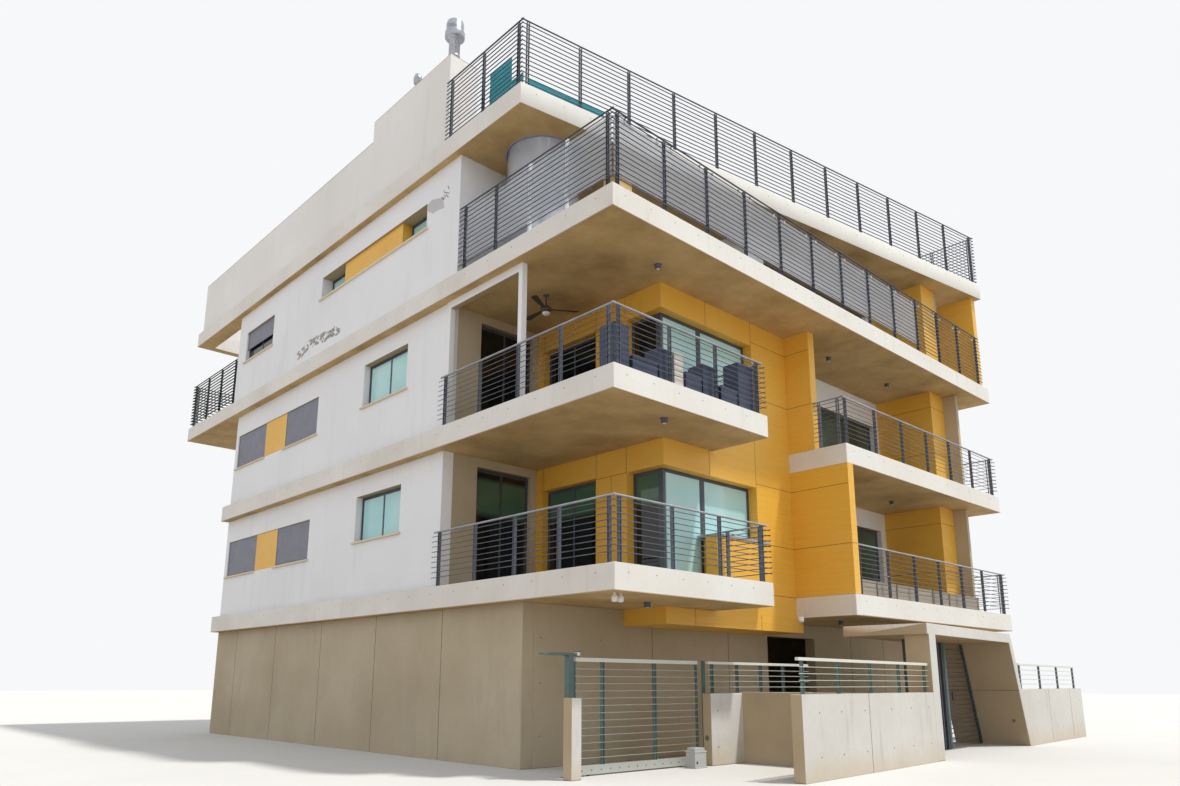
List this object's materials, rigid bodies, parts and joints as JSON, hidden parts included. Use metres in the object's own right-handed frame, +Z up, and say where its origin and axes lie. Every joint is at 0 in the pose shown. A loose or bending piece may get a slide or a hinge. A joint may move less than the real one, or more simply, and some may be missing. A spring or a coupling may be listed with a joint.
{
  "type": "apartment block",
  "caption": "Modern apartment block with stacked corner balconies, a roofed terrace, a skewed flat roof and a street boundary with a sliding gate and an entrance portal.",
  "frame": {"origin": "middle of the bounding box in plan, at ground level", "axes": "+X along the street front to the right, +Y away from the street, +Z up"},
  "size_m": [17.73, 21.13, 16.6],
  "materials": {
    "concrete": "fair-faced, matt",
    "white_render": "fine render, matt",
    "ochre_panel": "smooth coloured panel, satin",
    "grey_shutter": "matt",
    "grey_aluminium": "satin",
    "window_glass": "clear, green-blue tint",
    "dark_steel": "satin",
    "pale_steel": "satin",
    "rail_glass": "clear",
    "teal_cloth": "woven, matt",
    "planter_shell": "matt",
    "shaft_glass": "hazy",
    "bare_metal": "brushed",
    "motor_housing": "matt"
  },
  "bodies": {
    "building": {"ground_front_wall": "concrete", "ground_side_walls": "concrete", "ground_back_wall": "concrete", "first_floor_slab": "concrete", "second_floor_slab": "concrete", "terrace_slab": "concrete", "roof_slab": "concrete", "left_walls": "white_render", "right_walls": "white_render", "back_walls": "white_render", "front_walls": "white_render", "loggia_walls": "concrete", "clad_walls": "ochre_panel", "clad_skirt": "ochre_panel", "fin_walls": "ochre_panel", "clad_piers": "ochre_panel", "end_walls": "concrete", "loggia_frame": "white_render", "roof_parapet": "white_render", "left_panels": "ochre_panel", "left_shutters": "grey_shutter", "left_sills": "white_render", "left_frames": "grey_aluminium", "left_glass": "window_glass", "front_frames": "grey_aluminium", "front_glass": "window_glass", "rear_shutters": "grey_shutter", "corner_balcony_rails": "dark_steel", "right_balcony_rails": "dark_steel", "terrace_rail": "dark_steel", "terrace_screen": "rail_glass", "roof_rail": "dark_steel", "rear_rail": "dark_steel", "planters": "planter_shell", "drum": "shaft_glass", "flues": "bare_metal", "roof_screen": "teal_cloth", "street_walls": "concrete", "entrance_portal": "concrete", "street_rails": "pale_steel", "gate_posts": "pale_steel", "gate_motor": "motor_housing", "entrance_side_panel": "dark_steel"},
    "sliding_gate_leaf": {"sliding_gate": "pale_steel"},
    "entrance_gate_leaf": {"entrance_gate": "dark_steel"}
  },
  "joints": [
    {"name": "sliding_gate_slide", "type": "slide", "parent": "building", "child": "sliding_gate_leaf", "axis": [1, 0, 0], "range_m": [0, 2.85]},
    {"name": "entrance_gate_hinge", "type": "hinge", "parent": "building", "child": "entrance_gate_leaf", "pos_m": [1.8564, -8.8974, 0], "axis": [0, 0, 1], "range_deg": [0, 90]}
  ]
}
